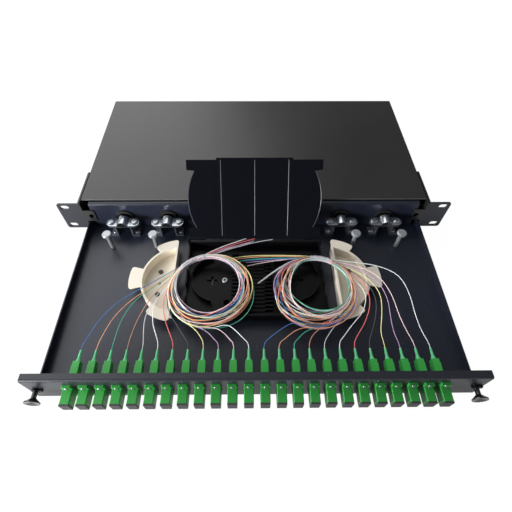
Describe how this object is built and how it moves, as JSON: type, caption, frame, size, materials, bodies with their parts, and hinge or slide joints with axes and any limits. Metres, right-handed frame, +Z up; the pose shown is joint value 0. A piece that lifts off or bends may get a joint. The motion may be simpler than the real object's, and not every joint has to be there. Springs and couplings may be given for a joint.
{
  "type": "optical distribution frame",
  "caption": "One-unit rack drawer for fibre patching and splicing, drawn out, with a row of green adapters, coiled fibre tails and a splice tray under an open lid.",
  "frame": {"origin": "centre of the four rack slots, in the plane of the ears' rear face, which lies on the rack's rails", "axes": "+X to the right as seen from the front, +Y back into the rack, +Z up; the drawer comes out towards -Y"},
  "size_m": [0.4826, 0.4468, 0.101],
  "materials": {
    "powder_coat": "fine textured powder coat",
    "black_screw": "satin",
    "bright_zinc": "bright zinc plate",
    "adapter_green": "satin",
    "connector_green": "satin",
    "boot_green": "matt",
    "cap_grey": "matt",
    "black_plastic": "satin",
    "black_rubber": "matt",
    "ivory_plastic": "satin",
    "smoky_sheet": "smoky translucent sheet",
    "fibre_bundle": "many coloured strands",
    "clear_sleeve": "clear sleeve",
    "fibre_blue": "satin",
    "fibre_orange": "satin",
    "fibre_green": "satin",
    "fibre_brown": "satin",
    "fibre_grey": "satin",
    "fibre_white": "satin",
    "fibre_red": "satin",
    "fibre_black": "satin",
    "fibre_yellow": "satin",
    "fibre_violet": "satin",
    "fibre_pink": "satin",
    "fibre_aqua": "satin"
  },
  "bodies": {
    "housing": {"housing_shell": "powder_coat", "base_plate": "powder_coat", "housing_screws": "black_screw", "rack_ear_left": "powder_coat", "rack_ear_right": "powder_coat", "ear_screws": "black_screw"},
    "drawer": {"adapter_screws": "bright_zinc", "adapters": "adapter_green", "cable_grommets": "black_rubber", "clamp_brackets": "bright_zinc", "clamp_screws": "bright_zinc", "clamp_straps": "bright_zinc", "coil_sleeves": "clear_sleeve", "connector_bodies": "connector_green", "connector_boots": "boot_green", "crossing_end_violet": "fibre_violet", "crossing_end_yellow": "fibre_yellow", "drawer_tray": "powder_coat", "dust_caps": "cap_grey", "fibre_coil_left": "fibre_bundle", "fibre_coil_right": "fibre_bundle", "fibre_spool_left": "ivory_plastic", "fibre_spool_right": "ivory_plastic", "fibre_tail_01": "fibre_blue", "fibre_tail_02": "fibre_orange", "fibre_tail_03": "fibre_green", "fibre_tail_04": "fibre_brown", "fibre_tail_05": "fibre_grey", "fibre_tail_06": "fibre_white", "fibre_tail_07": "fibre_red", "fibre_tail_08": "fibre_black", "fibre_tail_09": "fibre_yellow", "fibre_tail_10": "fibre_violet", "fibre_tail_11": "fibre_pink", "fibre_tail_12": "fibre_aqua", "fibre_tail_13": "fibre_blue", "fibre_tail_14": "fibre_orange", "fibre_tail_15": "fibre_green", "fibre_tail_16": "fibre_brown", "fibre_tail_17": "fibre_grey", "fibre_tail_18": "fibre_white", "fibre_tail_19": "fibre_red", "fibre_tail_20": "fibre_black", "fibre_tail_21": "fibre_yellow", "fibre_tail_22": "fibre_violet", "fibre_tail_23": "fibre_pink", "fibre_tail_24": "fibre_aqua", "free_end_red": "fibre_red", "free_end_white": "fibre_white", "front_panel": "powder_coat", "latch_grommets": "black_plastic", "loose_end_white": "fibre_white", "splice_holder": "black_plastic", "splice_tray": "black_plastic", "splice_tray_screws": "bright_zinc", "spool_screws": "bright_zinc", "strength_member_bolts": "bright_zinc"},
    "tray_lid": {"splice_tray_lid": "smoky_sheet"},
    "latch_left": {"latch_plunger_left": "black_plastic"},
    "latch_right": {"latch_plunger_right": "black_plastic"}
  },
  "joints": [
    {"name": "drawer_slide", "type": "slide", "parent": "housing", "child": "drawer", "axis": [0, 1, 0], "range_m": [0, 0.211]},
    {"name": "lid_hinge", "type": "hinge", "parent": "drawer", "child": "tray_lid", "pos_m": [0, -0.0404, 0.0023], "axis": [1, 0, 0], "range_deg": [0, 126], "deforming": ["splice_tray_lid"]},
    {"name": "latch_left_push", "type": "slide", "parent": "drawer", "child": "latch_left", "axis": [0, 1, 0], "range_m": [0, 0.005]},
    {"name": "latch_right_push", "type": "slide", "parent": "drawer", "child": "latch_right", "axis": [0, 1, 0], "range_m": [0, 0.005]}
  ],
  "couplings": [
    {"joint": "lid_hinge", "follows": "drawer_slide", "rad_per_m": 10.42}
  ]
}
